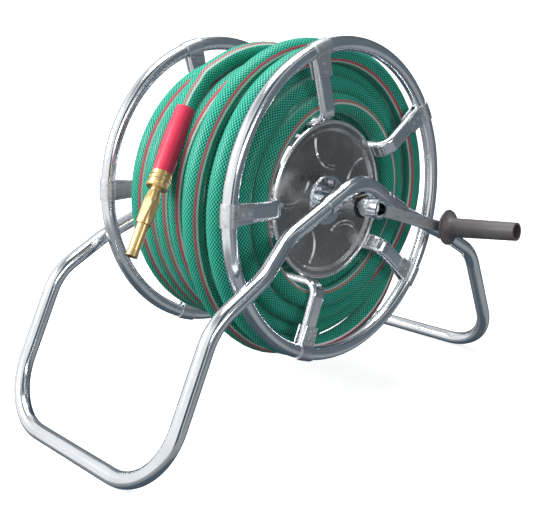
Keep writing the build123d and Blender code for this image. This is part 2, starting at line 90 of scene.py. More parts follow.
class Signal:
    """A value that varies over a surface: one output of a shader graph, with arithmetic."""

    def __init__(self, graph: "Graph", socket: bpy.types.NodeSocket) -> None:
        """Keeps the output and the graph that it belongs to.

        Args:
            graph: The graph that makes further nodes.
            socket: The output socket.
        """
        self.graph = graph
        self.socket = socket

    def _math(self, operation: str, *others: "Signal | float") -> "Signal":
        """One Math node with this value as its first input."""
        inputs = dict(enumerate((self, *others)))
        return self.graph.node("ShaderNodeMath", {"operation": operation}, inputs)

    def __add__(self, other: "Signal | float") -> "Signal":
        """This value plus another."""
        return self._math("ADD", other)

    __radd__ = __add__

    def __sub__(self, other: "Signal | float") -> "Signal":
        """This value minus another."""
        return self._math("SUBTRACT", other)

    def __rsub__(self, other: float) -> "Signal":
        """A number minus this value."""
        return self.graph.node("ShaderNodeMath", {"operation": "SUBTRACT"}, {0: other, 1: self})

    def __mul__(self, other: "Signal | float") -> "Signal":
        """This value times another."""
        return self._math("MULTIPLY", other)

    __rmul__ = __mul__

    def __truediv__(self, other: "Signal | float") -> "Signal":
        """This value divided by another."""
        return self._math("DIVIDE", other)

    def __abs__(self) -> "Signal":
        """This value without its sign."""
        return self._math("ABSOLUTE")

    def __or__(self, other: "Signal | float") -> "Signal":
        """The larger of two values, as a union of two masks."""
        return self._math("MAXIMUM", other)

    def fraction(self) -> "Signal":
        """The part after the decimal point."""
        return self._math("FRACT")

    def root(self) -> "Signal":
        """The square root."""
        return self._math("SQRT")

    def wave(self) -> "Signal":
        """A triangle wave of period 1 that is 0 at whole numbers and 1 halfway between them."""
        return 1.0 - abs(2.0 * self.fraction() - 1.0)

    def step(self, low: float, high: float) -> "Signal":
        """A smooth step from 0 at low to 1 at high.

        Args:
            low: Where the step starts.
            high: Where it ends; it may be below low, and the step then falls.

        Returns:
            The step as a value from 0 to 1.
        """
        settings = {"interpolation_type": "SMOOTHSTEP"}
        inputs = {"Value": self, "From Min": low, "From Max": high}
        return self.graph.node("ShaderNodeMapRange", settings, inputs)

    def between(self, low: float, high: float) -> "Signal":
        """This share of the way from one number to another."""
        return self * (high - low) + low

    def colour(self, low: "Signal | Colour", high: "Signal | Colour") -> "Signal":
        """Mixes two colours by this share.

        Args:
            low: The colour where this value is 0.
            high: The colour where it is 1.

        Returns:
            The mixed colour.
        """
        inputs = {0: self, 6: low, 7: high}
        return self.graph.node("ShaderNodeMix", {"data_type": "RGBA"}, inputs, 2)

    def part(self, name: str) -> "Signal":
        """Another output of the same node."""
        return Signal(self.graph, self.socket.node.outputs[name])


class Graph:
    """The node graph of one material or of the world."""

    noise_roughness = 0.55

    def __init__(self, tree: bpy.types.NodeTree) -> None:
        """Starts an empty graph.

        Args:
            tree: The node tree to draw in.
        """
        self.tree = tree
        tree.nodes.clear()

    def node(
        self,
        kind: str,
        settings: dict[str, object] | None = None,
        inputs: dict[str | int, object] | None = None,
        output: str | int = 0,
    ) -> Signal:
        """Adds one node.

        Args:
            kind: The node's type name.
            settings: Properties of the node.
            inputs: Values or signals by the name or place of the input.
            output: The output to return.

        Returns:
            The output as a signal.
        """
        made = self.tree.nodes.new(kind)
        for key, value in (settings or {}).items():
            setattr(made, key, value)
        for key, value in (inputs or {}).items():
            socket = made.inputs[key]
            if isinstance(value, Signal):
                self.tree.links.new(value.socket, socket)
            elif isinstance(value, tuple) and socket.type == "RGBA":
                socket.default_value = (*value, 1.0)
            else:
                socket.default_value = value
        return Signal(self, made.outputs[output])

    def place(self, stretch: Place = (1.0, 1.0, 1.0)) -> Signal:
        """The place on the piece itself in metres, stretched along its axes."""
        here = self.node("ShaderNodeTexCoord", output="Object")
        return self.node("ShaderNodeVectorMath", {"operation": "MULTIPLY"}, {0: here, 1: stretch})

    def axis(self, vector: Signal, name: str) -> Signal:
        """One of the parts X, Y or Z of a vector."""
        return self.node("ShaderNodeSeparateXYZ", None, {0: vector}, name)

    def from_axle(self, place: Signal, axle: Span) -> Signal:
        """How far a place is from the axle.

        Args:
            place: The coordinates.
            axle: The axle's Y and Z.

        Returns:
            The distance.
        """
        along_y = self.axis(place, "Y")
        y, z = along_y - axle[0], along_y.part("Z") - axle[1]
        return (y * y + z * z).root()

    def noise(self, place: Signal, scale: float, detail: float = 3.0) -> Signal:
        """Cloudy noise from 0 to 1.

        Args:
            place: The coordinates.
            scale: Clouds to the metre.
            detail: How many finer layers it has.

        Returns:
            The noise.
        """
        inputs = {"Vector": place, "Scale": scale, "Detail": detail}
        inputs["Roughness"] = self.noise_roughness
        return self.node("ShaderNodeTexNoise", None, inputs)

    def bump(self, height: Signal, depth: float) -> Signal:
        """A normal from a height of 0 to 1 that stands for a depth in metres."""
        inputs = {"Strength": 1.0, "Distance": depth, "Height": height}
        return self.node("ShaderNodeBump", None, inputs)

    def surface(self, **sockets: object) -> None:
        """Ends the graph in a principled surface.

        Args:
            sockets: Values or signals by the socket's name, with _ for spaces.
        """
        named = {key.replace("_", " "): value for key, value in sockets.items()}
        shader = self.node("ShaderNodeBsdfPrincipled", None, named)
        self.end("ShaderNodeOutputMaterial", shader)

    def end(self, kind: str, shader: Signal) -> None:
        """Links a shader to an output node of its own."""
        made = self.tree.nodes.new(kind)
        self.tree.links.new(shader.socket, made.inputs["Surface"])


@dataclass(frozen=True)
class Finish:
    """A material that is painted by its own node graph."""

    name: str

    def paint(self, graph: Graph) -> None:
        """Draws the finish.

        Args:
            graph: The empty graph to draw in.
        """
        raise NotImplementedError

    def material(self) -> bpy.types.Material:
        """Makes the material the first time it is asked for.

        Returns:
            The finish as a material.
        """
        known = bpy.data.materials.get(self.name)
        if known:
            return known
        made = bpy.data.materials.new(self.name)
        made.use_nodes = True
        self.paint(Graph(made.node_tree))
        return made


@dataclass(frozen=True)
class Metal(Finish):
    """Bare or plated metal with clouded polish, fine scratches and dull specks."""

    clean: Colour
    dull: Colour
    roughness: float
    haze: float
    scratch: Place = (1.0, 1.0, 1.0)
    scratch_scale: float = 900.0
    scratch_depth: float = 0.00002
    scratch_rough: float = 0.05
    speck: float = 0.72
    speck_edge: float = 0.08
    speck_scale: float = 420.0
    speck_rough: float = 0.15
    streak: float = 0.0
    streak_span: Span = (0.42, 0.72)
    haze_scale: float = 22.0
    haze_span: Span = (0.35, 0.75)
    haze_dulls: float = 0.6
    metallic: float = 1.0

    def paint(self, graph: Graph) -> None:
        """Draws clouds in the polish, specks and a fine directional scratch.

        Args:
            graph: The empty graph to draw in.
        """
        place = graph.place()
        haze = graph.noise(place, self.haze_scale, 4.0).step(*self.haze_span)
        specks = graph.noise(place, self.speck_scale, 2.0)
        specks = specks.step(self.speck, self.speck + self.speck_edge)
        lines = graph.noise(graph.place(self.scratch), self.scratch_scale, 2.0)
        streaks = lines.step(*self.streak_span) * self.streak
        dulled = haze * self.haze_dulls | specks | streaks
        rough = haze.between(self.roughness, self.roughness + self.haze)
        graph.surface(
            Base_Color=dulled.colour(self.clean, self.dull),
            Metallic=self.metallic,
            Roughness=rough + lines * self.scratch_rough + specks * self.speck_rough,
            Normal=graph.bump(lines, self.scratch_depth),
        )


@dataclass(frozen=True)
class PressedSheet(Finish):
    """A dark polished pressing that is bright along its rim, with painted highlights where its
    ribs and rolled rim slope.
    """

    dark: Colour
    bright: Colour
    axle: Span
    rim: Span
    rim_light: float = 0.9
    edge_span: Span = (0.985, 0.86)
    slope_highlight: float = 0.75
    smear_scale: float = 30.0
    smear_span: Span = (0.4, 0.7)
    smear_light: float = 0.12
    rough_span: Span = (0.23, 0.31)
    spin_scale: float = 900.0
    spin_rough: float = 0.03
    spin_height: float = 0.1
    depth: float = 0.000015

    def paint(self, graph: Graph) -> None:
        """Draws the rim by the distance from the axle, and paints highlights on the sloped sides
        of the ribs and rim by the way they face.

        Args:
            graph: The empty graph to draw in.
        """
        place = graph.place()
        radius = graph.from_axle(place, self.axle)
        clouds = graph.noise(place, self.smear_scale, 4.0)
        smear = clouds.step(*self.smear_span)
        spun = (radius * self.spin_scale).wave()
        rim = radius.step(*self.rim)
        # Faces that slope away from the flat face, the ribs' sides and the rolled rim, get a
        # painted highlight.
        facing = graph.node("ShaderNodeNewGeometry", output="Normal")
        slope_highlights = abs(graph.axis(facing, "X")).step(*self.edge_span)
        # The lightness mixes the brighter rim, random smears and the painted slope highlights.
        light = rim * self.rim_light | smear * self.smear_light | slope_highlights * self.slope_highlight
        graph.surface(
            Base_Color=light.colour(self.dark, self.bright),
            Metallic=1.0,
            Roughness=smear.between(*self.rough_span) + spun * self.spin_rough,
            Normal=graph.bump(clouds + spun * self.spin_height, self.depth),
        )


@dataclass(frozen=True)
class BoreShadedBolt(Finish):
    """A plated bolt whose shank is painted near-black where it crosses the axle, as painted shade
    inside the boss's open bore.
    """

    plated: Colour
    bore_shade: Colour
    axle: Span
    bore: float
    bore_edge: Span = (0.96, 1.02)
    cloud_scale: float = 300.0
    rough_span: Span = (0.22, 0.36)
    plated_gloss: float = 0.04
    depth: float = 0.00003

    def paint(self, graph: Graph) -> None:
        """Draws the plating outside the bore and painted shade inside it.

        Args:
            graph: The empty graph to draw in.
        """
        place = graph.place()
        start, end = (self.bore * share for share in self.bore_edge)
        outside = graph.from_axle(place, self.axle).step(start, end)
        clouds = graph.noise(place, self.cloud_scale, 3.0)
        graph.surface(
            # Inside the bore the shank is painted near-black as shade.
            Base_Color=outside.colour(self.bore_shade, self.plated),
            Metallic=1.0,
            Roughness=clouds.between(*self.rough_span) - outside * self.plated_gloss,
            Normal=graph.bump(clouds, self.depth),
        )


@dataclass(frozen=True)
class Knit(Finish):
    """A clear-skinned hose with a knitted layer under the skin, painted highlights where its
    strands cross, and two lengthwise lines.

    The piece's UV gives metres to the hose's free end and turns around it.
    """

    ground: Colour
    shade: Colour
    yarn: Colour
    # The pale colour of the painted highlights where the strands cross.
    loop: Colour
    line_red: Colour
    line_white: Colour
    strands: float
    lead: float
    line_place: float
    line_gap: float
    red_width: float
    white_width: float
    fading: float
    strand_span: Span = (0.4, 0.85)
    loop_span: Span = (0.2, 0.9)
    yarn_cover: float = 0.75
    loop_highlight_cover: float = 0.7
    line_edge: Span = (0.62, 0.42)
    red_cover: Span = (0.97, 0.88)
    white_cover: Span = (0.84, 0.97)
    fresh_span: Span = (0.55, 1.0)
    cloud_scale: float = 26.0
    cloud_span: Span = (0.3, 0.7)
    cloud_height: float = 0.4
    rough_span: Span = (0.36, 0.48)
    knit_rough: float = 0.06
    depth: float = 0.00018
    skin: float = 0.2

    def stripe(self, around: Signal, place: float, width: float) -> Signal:
        """A lengthwise line as a mask.

        Args:
            around: Turns around the hose.
            place: The line's middle, in turns.
            width: The line's width, in turns.

        Returns:
            1 on the line and 0 beside it.
        """
        away = abs((around - (place - 0.5)).fraction() - 0.5)
        outer, inner = self.line_edge
        return away.step(width * outer, width * inner)

    def paint(self, graph: Graph) -> None:
        """Draws crossing strands with painted highlights where they cross, the lines over them and
        a glossy skin.

        Args:
            graph: The empty graph to draw in.
        """
        along = graph.axis(graph.node("ShaderNodeUVMap"), "X")
        around = along.part("Y")
        run = along / self.lead
        turn = around * self.strands
        one_way = (run + turn).wave().step(*self.strand_span)
        other_way = (run - turn).wave().step(*self.strand_span)
        knit = one_way | other_way
        # Where the strands cross, a pale painted highlight is mixed in.
        loop_highlights = (one_way * other_way).step(*self.loop_span)
        clouds = graph.noise(graph.place(), self.cloud_scale, 3.0)
        ground = clouds.step(*self.cloud_span).colour(self.shade, self.ground)
        woven = (knit * self.yarn_cover).colour(ground, self.yarn)
        woven = (loop_highlights * self.loop_highlight_cover).colour(woven, self.loop)
        red = self.stripe(around, self.line_place, self.red_width)
        white = self.stripe(around, self.line_place + self.line_gap, self.white_width)
        fresh = (along / self.fading).wave().between(*self.fresh_span)
        red = red * knit.between(*self.red_cover) * fresh
        white = white * knit.between(*self.white_cover) * fresh
        graph.surface(
            Base_Color=white.colour(red.colour(woven, self.line_red), self.line_white),
            Roughness=clouds.between(*self.rough_span) + knit * self.knit_rough,
            Specular_IOR_Level=0.16,
            Normal=graph.bump(knit + clouds * self.cloud_height, self.depth),
            Coat_Weight=knit * self.skin,
            Coat_Roughness=0.22,
        )


@dataclass(frozen=True)
class Plastic(Finish):
    """Moulded plastic with a fine grain and rubbed patches."""

    fresh: Colour
    rubbed: Colour
    roughness: float
    grain_scale: float
    grain_depth: float
    shine: float = 0.0
    patch_scale: float = 34.0
    patch_span: Span = (0.3, 0.75)
    rub: float = 0.07
    grain_rough: float = 0.08

    def paint(self, graph: Graph) -> None:
        """Draws the grain and slow changes of colour and gloss.

        Args:
            graph: The empty graph to draw in.
        """
        place = graph.place()
        patches = graph.noise(place, self.patch_scale, 4.0).step(*self.patch_span)
        grain = graph.noise(place, self.grain_scale, 2.0)
        rough = patches.between(self.roughness + self.rub, self.roughness - self.rub)
        graph.surface(
            Base_Color=patches.colour(self.fresh, self.rubbed),
            Roughness=rough + grain * self.grain_rough,
            Normal=graph.bump(grain, self.grain_depth),
            Coat_Weight=self.shine,
        )


@dataclass(frozen=True)
class Paper(Finish):
    """The studio's pale paper, which glows to white away from the object."""

    tone: Colour
    worn: Colour
    glow: float
    cloud_scale: float = 1.2
    glow_span: Span = (0.9, 2.2)

    def paint(self, graph: Graph) -> None:
        """Draws an almost even matt tone and its glow.

        Args:
            graph: The empty graph to draw in.
        """
        place = graph.place()
        clouds = graph.noise(place, self.cloud_scale, 3.0)
        length = {"operation": "LENGTH"}
        distance = graph.node("ShaderNodeVectorMath", length, {0: place}, "Value")
        graph.surface(
            Base_Color=clouds.colour(self.tone, self.worn),
            Roughness=0.9,
            Specular_IOR_Level=0.1,
            Emission_Color=distance.step(*self.glow_span).between(self.glow, 1.0),
            Emission_Strength=1.0,
        )


@dataclass
class Draft:
    """Points and faces of one piece, collected before it becomes a mesh."""

    points: list[Vector] = field(default_factory=list)
    faces: list[tuple[int, ...]] = field(default_factory=list)
    uvs: list[Span] = field(default_factory=list)

    def ring(self, points: Sequence[Vector]) -> list[int]:
        """Adds points that follow one another round a section.

        Args:
            points: The section's points in order.

        Returns:
            Their numbers.
        """
        start = len(self.points)
        self.points.extend(points)
        return list(range(start, len(self.points)))

    def skin(self, first: list[int], second: list[int], uv: Profile | None = None) -> None:
        """Joins two rings of equal count with quads.

        Args:
            first: One ring.
            second: The next ring along the piece.
            uv: Start and end of the strip: two (u, v at the first point) pairs.
        """
        count = len(first)
        for i in range(count):
            j = (i + 1) % count
            self.faces.append((first[i], first[j], second[j], second[i]))
            if uv:
                (u0, v0), (u1, v1) = uv
                a, b = i / count, (i + 1) / count
                self.uvs.extend([(u0, v0 + a), (u0, v0 + b), (u1, v1 + b), (u1, v1 + a)])

    def skins(self, rings: Sequence[list[int]]) -> None:
        """Joins each ring to the next one.

        Args:
            rings: Rings of equal count along the piece.
        """
        for low, high in zip(rings, rings[1:]):
            self.skin(low, high)

    def caps(self, rings: Sequence[list[int]]) -> None:
        """Closes the first and the last ring with one face each.

        Args:
            rings: All rings along the piece.
        """
        for face in (tuple(reversed(rings[0])), tuple(rings[-1])):
            self.faces.append(face)
            if self.uvs:
                self.uvs.extend([(0.0, 0.0)] * len(face))

    def turned(self, profile: Profile, place: Matrix, sides: int) -> None:
        """Adds a closed turned shape.

        Args:
            profile: (radius, height) points from the bottom to the top.
            place: The shape's place, with its axis along Z.
            sides: Points around it.
        """
        turns = [math.tau * i / sides for i in range(sides)]
        rings = []
        for radius, height in profile:
            section = [Vector((radius * math.cos(a), radius * math.sin(a), height)) for a in turns]
            rings.append(self.ring([place @ point for point in section]))
        self.skins(rings)
        self.caps(rings)

    def mesh(self, name: str, finish: Finish) -> bpy.types.Mesh:
        """The points and faces as a smooth mesh.

        Args:
            name: The mesh's name.
            finish: Its material.

        Returns:
            The mesh.
        """
        mesh = bpy.data.meshes.new(name)
        mesh.from_pydata([tuple(point) for point in self.points], [], self.faces)
        mesh.materials.append(finish.material())
        mesh.shade_smooth()
        return mesh

    def piece(
        self, name: str, finish: Finish, body: Body, crease: float = 40.0
    ) -> bpy.types.Object:
        """Makes the mesh object and lets it ride.

        Args:
            name: The piece's name.
            finish: Its material.
            body: The body that it moves with.
            crease: Edges sharper than this many degrees stay sharp.

        Returns:
            The object.
        """
        mesh = self.mesh(name, finish)
        if self.uvs:
            layer = mesh.uv_layers.new(name="UVMap")
            for loop, uv in zip(layer.data, self.uvs):
                loop.uv = uv
        mesh.set_sharp_from_angle(angle=math.radians(crease))
        mesh.validate()
        made = bpy.data.objects.new(name, mesh)
        bpy.context.scene.collection.objects.link(made)
        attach(made, body.value)
        LOG.info("made %s on %s", name, body.value)
        return made


def eased(share: float) -> float:
    """A share from 0 to 1 that starts and ends gently."""
    return share * share * (3.0 - 2.0 * share)


def spoke(angle: float) -> Vector:
    """The direction away from the axle at an angle that starts at the back and rises."""
    return Vector((0.0, math.cos(angle), math.sin(angle)))


def placed(origin: Vector, out: Vector, across: Vector = UP) -> Matrix:
    """A place whose Z axis points out of a surface.

    Args:
        origin: The point on the surface.
        out: The direction away from it.
        across: A direction that the X axis leans towards.

    Returns:
        The place as a matrix.
    """
    z = out.normalized()
    x = across - z * across.dot(z)
    if x.length < 1e-6:
        x = z.orthogonal()
    x.normalize()
    turn = Matrix((x, z.cross(x), z)).transposed().to_4x4()
    return Matrix.Translation(origin) @ turn


@dataclass(frozen=True)
class Palette:
    """The finishes of the object."""

    tube: Finish
    steel: Finish
    bar: Finish
    zinc: Finish
    bolt: Finish
    weld: Finish
    disc: Finish
    bush: Finish
    grip: Finish
    hose: Finish
    sleeve: Finish
    brass: Finish

    @classmethod
    def for_axle(cls, axle: Span) -> "Palette":
        """The finishes as the photograph shows them.

        Args:
            axle: The axle's Y and Z.

        Returns:
            The palette.
        """
        brushed = {"scratch": (1.0, 0.12, 1.0), "scratch_scale": 300.0, "streak": 0.8}
        return cls(
            tube=Metal(
                "polished_tube",
                clean=(0.80, 0.83, 0.86),
                dull=(0.62, 0.65, 0.68),
                roughness=0.11,
                haze=0.06,
                scratch_depth=0.000005,
            ),
            steel=Metal(
                "satin_sheet",
                clean=(0.78, 0.80, 0.82),
                dull=(0.44, 0.46, 0.48),
                roughness=0.26,
                haze=0.14,
                **brushed,
            ),
            bar=Metal(
                "drawn_bar",
                clean=(0.86, 0.88, 0.89),
                dull=(0.52, 0.54, 0.56),
                roughness=0.40,
                haze=0.1,
                **brushed,
            ),
            zinc=Metal(
                "zinc_bolt",
                clean=(0.70, 0.71, 0.74),
                dull=(0.45, 0.45, 0.47),
                roughness=0.2,
                haze=0.15,
            ),
            bolt=BoreShadedBolt(
                "crank_bolt",
                plated=(0.70, 0.72, 0.74),
                # near-black painted shade inside the boss's bore
                bore_shade=(0.02, 0.02, 0.022),
                axle=axle,
                bore=0.0102,
            ),
            weld=Metal(
                "weld_bead",
                clean=(0.42, 0.41, 0.40),
                dull=(0.20, 0.17, 0.15),
                roughness=0.34,
                haze=0.2,
                speck=0.55,
            ),
            disc=PressedSheet(
                "pressed_disc",
                dark=(0.340, 0.324, 0.314),
                bright=(0.84, 0.84, 0.84),
                axle=axle,
                rim=(0.0935, 0.0965),
            ),
            bush=Plastic(
                "bush_black",
                fresh=(0.012, 0.012, 0.013),
                rubbed=(0.03, 0.03, 0.031),
                roughness=0.42,
                grain_scale=1500.0,
                grain_depth=0.00004,
            ),
            grip=Plastic(
                "grip_dark",
                fresh=(0.120, 0.104, 0.108),
                rubbed=(0.170, 0.152, 0.156),
                roughness=0.38,
                grain_scale=1300.0,
                grain_depth=0.00008,
            ),
            hose=Knit(
                "hose_knit",
                ground=(0.002, 0.130, 0.072),
                shade=(0.001, 0.078, 0.042),
                yarn=(0.030, 0.540, 0.375),
                # pale painted highlight where the strands cross
                loop=(0.200, 0.860, 0.720),
                line_red=(0.760, 0.050, 0.110),
                line_white=(0.980, 0.860, 0.870),
                strands=20.0,
                lead=0.0050,
                line_place=-0.090,
                line_gap=-0.042,
                red_width=0.038,
                white_width=0.032,
                fading=4.2,
            ),
            sleeve=Plastic(
                "sleeve_red",
                fresh=(0.66, 0.014, 0.058),
                rubbed=(0.74, 0.030, 0.090),
                roughness=0.34,
                grain_scale=700.0,
                grain_depth=0.00005,
                shine=0.3,
            ),
            brass=Metal(
                "nozzle_brass",
                clean=(1.0, 0.85, 0.22),
                dull=(0.94, 0.70, 0.13),
                roughness=0.27,
                haze=0.10,
                metallic=0.6,
            ),
        )


@dataclass
class Solids:
    """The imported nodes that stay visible, with their finishes."""

    nodes: dict[str, bpy.types.Object]
    palette: Palette

    def finish_of(self, name: str) -> Finish:
        """Picks a node's finish by the start of its name.

        Args:
            name: The node's name.

        Returns:
            The finish, which is the plain tube's where no other is named.
        """
        palette = self.palette
        table = {
            "clamp": palette.steel,
            "hub_disc": palette.disc,
            "bush": palette.bush,
            "grip_spindle": palette.zinc,
            "grip_washer": palette.zinc,
            "grip": palette.grip,
            "crank_bolt": palette.bolt,
            "crank_arm": palette.bar,
            "hose_tail": palette.brass,
            "nozzle": palette.brass,
        }
        starts = [start for start in table if name.startswith(start)]
        return table[starts[0]] if starts else palette.tube

    def dress(self) -> None:
        """Gives every node its finish."""
        for name, node in self.nodes.items():
            finish = self.finish_of(name)
            node.data.materials.clear()
            node.data.materials.append(finish.material())
            LOG.info("dressed %s in %s", name, finish.name)


@dataclass(frozen=True)
class Layer:
    """One layer of turns on the reel."""

    radius: float
    first_x: float
    turns: int
    hang: float


@dataclass(frozen=True)
class HoseRoute:
    """The line of the hose: buried layers, the loose outer turns and the end that hangs down.

    A turn keeps its place along the axle and then shifts to the next one's in its last part.
    Angles are in degrees and start at the front.
    """

    middle: Vector
    diameter: float = 0.024
    pitch: float = 0.02465
    start_turn: float = 0.065
    turn_start: float = 170.0
    leave_angle: float = 55.0
    shift: float = 0.22
    last_shift: float = 0.36
    climb: float = 0.0035
    wander: float = 0.0007
    wander_pace: float = 0.46
    wander_phase: float = 0.7
    hang: float = 0.010
    hang_power: float = 1.3
    points_a_turn: int = 16
    points_a_span: int = 4
    outer: Profile = ((0.0855, 0.1802), (0.0500, 0.1848), (-0.0205, 0.1808))
    end_x: float = -0.0220
    end_bow: float = 0.0035
    end_rise: float = 0.0010
    layers: tuple[Layer, ...] = (
        Layer(0.1203, -0.0830, 8, 0.45),
        Layer(0.1425, 0.0811, 7, 0.60),
        Layer(0.1612, -0.0790, 7, 0.80),
    )
    free_end: tuple[Place, ...] = (
        (-0.02142, -0.11470, 0.14083),
        (-0.01946, -0.13374, 0.12266),
        (-0.01253, -0.16057, 0.08213),
        (-0.00560, -0.18740, 0.04160),
    )

    def stations(self) -> list[Place]:
        """Lists the turns in order; every second layer runs back along the axle.

        Returns:
            Each turn's place along the axle, radius and share of the hang.
        """
        turns = []
        for number, layer in enumerate(self.layers):
            step = self.pitch if number % 2 == 0 else -self.pitch
            for i in range(layer.turns):
                turns.append((layer.first_x + step * i, layer.radius, layer.hang))
        return turns + [(x, radius, 1.0) for x, radius in self.outer]

    def place(self, turn: float, squeeze: float) -> Vector:
        """A control point of the winding.

        Args:
            turn: Turns from the start of the first layer.
            squeeze: The smooth curve's distance from the axle as a share of its control points'.

        Returns:
            The point.
        """
        stations = self.stations()
        last = len(stations) - 1
        number = min(int(turn), last)
        shift = self.last_shift if number == last - 1 else self.shift
        share = max(0.0, (turn - number - 1.0 + shift) / shift)
        pair = zip(stations[number], stations[min(number + 1, last)])
        x, radius, hang = (a + (b - a) * eased(share) for a, b in pair)
        past = (turn - last) * 360.0 / (self.turn_start - self.leave_angle)
        if past > 0.0:
            x += (self.end_x - x) * past - self.end_bow * math.sin(math.pi * past)
            radius += self.end_rise * past
        angle = math.radians(self.turn_start - 360.0 * turn)
        lift = self.climb * math.sin(math.pi * share) if share < 1.0 else 0.0
        phase = self.wander_pace * turn * math.tau + self.wander_phase * number
        wander = self.wander * math.sin(phase)
        sag = self.hang * hang * ((1.0 - math.sin(angle)) / 2.0) ** self.hang_power
        radius = (radius + sag + lift + wander) / squeeze
        offset = (x + wander, -radius * math.cos(angle), radius * math.sin(angle))
        return self.middle + Vector(offset)

    def controls(self) -> list[Vector]:
        """Lists the control points of the whole hose.

        Returns:
            The points from the buried end to the hose's end face.
        """
        # A curve of order 3 passes this near to the circle that its control points lie on.
        squeeze = (3.0 + math.cos(math.tau / self.points_a_turn)) / 4.0
        last = len(self.stations()) - 1 + (self.turn_start - self.leave_angle) / 360.0
        length = last - self.start_turn
        count = round(length * self.points_a_turn)
        turns = [self.start_turn + length * i / count for i in range(count + 1)]
        wound = [self.place(turn, squeeze) for turn in turns]
        return wound + [self.middle + Vector(point) for point in self.free_end]

    def line(self) -> list[Vector]:
        """Reads the line from one smooth curve with those control points.

        Returns:
            Points along the curve.
        """
        curve = bpy.data.curves.new("hose_line", "CURVE")
        curve.dimensions = "3D"
        curve.resolution_u = self.points_a_span
        spline = curve.splines.new("NURBS")
        controls = self.controls()
        spline.points.add(len(controls) - 1)
        for point, place in zip(spline.points, controls):
            point.co = (*place, 1.0)
        spline.order_u = 3
        spline.use_endpoint_u = True
        holder = bpy.data.objects.new("hose_line", curve)
        bpy.context.scene.collection.objects.link(holder)
        bpy.context.view_layer.update()
        mesh = bpy.data.meshes.new_from_object(holder)
        line = [vertex.co.copy() for vertex in mesh.vertices]
        bpy.data.meshes.remove(mesh)
        bpy.data.objects.remove(holder)
        bpy.data.curves.remove(curve)
        return line


@dataclass
class Hose:
    """The wound hose and the plastic sleeve on its end.

    The rolls say how far the knit has turned round the hose, in turns, by the metres that are left
    to its end: a hose twists as it is wound, and its lines wander with it.
    """

    route: HoseRoute
    palette: Palette
    nodes: dict[str, bpy.types.Object]
    sides: int = 20
    crease: float = 80.0
    rolls: Profile = (
        (0.0, -0.010),
        (0.5, -0.005),
        (1.7, 0.138),
        (2.85, 0.290),
        (3.9, 0.420),
        (6.3, 0.018),
        (9.6, 0.030),
        (12.0, 0.450),
        (16.4, 0.450),
        (17.3, 0.110),
    )
    sleeve_length: float = 0.085
    sleeve_radius: float = 0.0127
    sleeve_sides: int = 40
    sleeve_crease: float = 50.0
    lip: float = 0.0012

    def section(self, line: list[Vector], i: int, radius: float, sides: int) -> list[Vector]:
        """A round section square to the line, started from the side away from the axle.

        Args:
            line: The line's points.
            i: The point that the section is at.
            radius: The section's radius.
            sides: Points around it.

        Returns:
            The section's points.
        """
        ahead = line[min(i + 1, len(line) - 1)] - line[max(i - 1, 0)]
        ahead.normalize()
        away = line[i] - self.route.middle
        away.x = 0.0
        away -= ahead * away.dot(ahead)
        away.normalize()
        side = ahead.cross(away)
        turns = [math.tau * s / sides for s in range(sides)]
        return [line[i] + (away * math.cos(a) + side * math.sin(a)) * radius for a in turns]

    def roll(self, left: float) -> float:
        """How far the knit has turned round the hose.

        Args:
            left: Metres left to the hose's end.

        Returns:
            The roll in turns.
        """
        for (near, before), (far, after) in zip(self.rolls, self.rolls[1:]):
            if left < far:
                return before + (after - before) * eased((left - near) / (far - near))
        return self.rolls[-1][1]

    def tube(self, line: list[Vector], runs: list[float]) -> bpy.types.Object:
        """The hose as one skin with metres to its end and turns as its UV.

        Args:
            line: The hose's line.
            runs: Metres along it at each point.

        Returns:
            The hose.
        """
        draft = Draft()
        radius = self.route.diameter / 2.0
        count = len(line)
        rings = [draft.ring(self.section(line, i, radius, self.sides)) for i in range(count)]
        uvs = [(runs[-1] - run, self.roll(runs[-1] - run)) for run in runs]
        for i in range(count - 1):
            draft.skin(rings[i], rings[i + 1], uvs[i : i + 2])
        draft.caps(rings)
        hose = draft.piece("hose", self.palette.hose, Body.REEL, self.crease)
        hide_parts("hose_winding", "hose_core")
        # The photograph's polished metal shows grey where it would mirror the hose.
        hose.visible_glossy = False
        return hose

    def sleeve(self, line: list[Vector], runs: list[float]) -> bpy.types.Object:
        """The sleeve along the hose's last stretch, with a rolled lip at each end.

        Args:
            line: The hose's line.
            runs: Metres along it at each point.

        Returns:
            The sleeve.
        """
        draft = Draft()
        start = runs[-1] - self.sleeve_length
        after = next(i for i, run in enumerate(runs) if run > start)
        share = (start - runs[after - 1]) / (runs[after] - runs[after - 1])
        path = [line[after - 1].lerp(line[after], share), *line[after:]]
        last = len(path) - 1
        lips = (-self.lip, -self.lip / 3.0)
        shape = [(0, more) for more in lips] + [(i, 0.0) for i in range(1, last)]
        shape += [(last, more) for more in reversed(lips)]
        rings = []
        for i, more in shape:
            section = self.section(path, i, self.sleeve_radius + more, self.sleeve_sides)
            rings.append(draft.ring(section))
        draft.skins(rings)
        draft.caps(rings)
        finish = self.palette.sleeve
        sleeve = draft.piece("sleeve", finish, Body.REEL, self.sleeve_crease)
        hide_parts("hose_sleeve")
        return sleeve

    def build(self) -> None:
        line = self.route.line()
        runs = [0.0]
        for a, b in zip(line, line[1:]):
            runs.append(runs[-1] + (b - a).length)
        hose = self.tube(line, runs)
        sleeve = self.sleeve(line, runs)
        LOG.info("hose %.2f m in %d points", runs[-1], len(line))


@dataclass(frozen=True)
class RivetPair:
    """Two rivets down one leg of a peak sleeve."""

    front: float
    distances: Span
    lean: float


